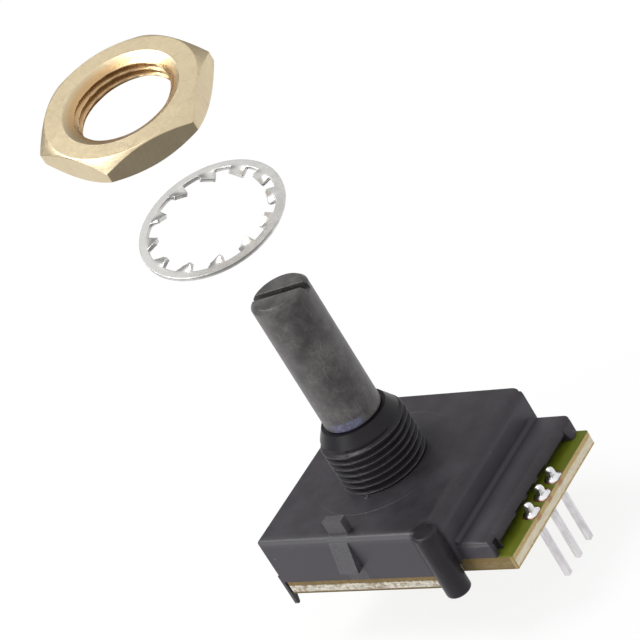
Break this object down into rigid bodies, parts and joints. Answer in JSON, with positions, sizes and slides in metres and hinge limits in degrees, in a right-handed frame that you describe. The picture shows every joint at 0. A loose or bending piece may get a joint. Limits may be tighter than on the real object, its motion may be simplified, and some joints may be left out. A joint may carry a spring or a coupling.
{
  "type": "rotary encoder",
  "caption": "Panel-mount rotary encoder: slotted round shaft in a threaded bushing on a moulded housing, terminals on a board tail, with hex nut and lock washer.",
  "frame": {"origin": "on the shaft's axis, in the plane of the panel face at the foot of the threaded bushing", "axes": "+Z out of the panel along the shaft, +X towards the terminals, -Y towards the anti-turn lug"},
  "size_m": [0.0282, 0.026, 0.0675],
  "materials": {
    "housing": "matt black glass-filled plastic",
    "laminate": "tan epoxy glass board",
    "solder_mask": "glossy olive green film",
    "gold_contact": "gold-plated copper",
    "copper_pad": "copper",
    "terminal": "tin-plated",
    "solder": "bright solder",
    "spring_steel": "rolled spring steel",
    "natural_plastic": "natural acetal",
    "shaft": "dark grey satin plastic",
    "lock_washer": "zinc-plated steel",
    "hex_nut": "turned brass, pale finish"
  },
  "bodies": {
    "base": {"housing": "housing", "circuit_board": "laminate", "solder_mask": "solder_mask", "common_track": "gold_contact", "track_a": "gold_contact", "track_b": "gold_contact", "pad_a": "copper_pad", "pad_common": "copper_pad", "pad_b": "copper_pad", "terminal_a": "terminal", "terminal_common": "terminal", "terminal_b": "terminal", "solder_joint_a": "solder", "solder_joint_common": "solder", "solder_joint_b": "solder", "detent_spring": "spring_steel", "thrust_washer": "natural_plastic"},
    "spindle": {"shaft": "shaft", "rotor": "natural_plastic", "contact_wiper": "gold_contact"},
    "loose_washer": {"lock_washer": "lock_washer"},
    "loose_nut": {"hex_nut": "hex_nut"}
  },
  "joints": [
    {"name": "shaft_turn", "type": "hinge", "parent": "base", "child": "spindle", "pos_m": [0, 0, 0], "axis": [0, 0, 1], "continuous": true},
    {"name": "washer_on", "type": "hinge", "parent": "base", "child": "loose_washer", "pos_m": [0.1179, -0.1111, 0.00054], "axis": [-0.6851, -0.727, -0.0471], "range_deg": [0, 12.2]},
    {"name": "nut_on", "type": "slide", "parent": "loose_washer", "child": "loose_nut", "axis": [-0.1019, 0.1999, -0.9745], "range_m": [0, 0.01435]}
  ]
}
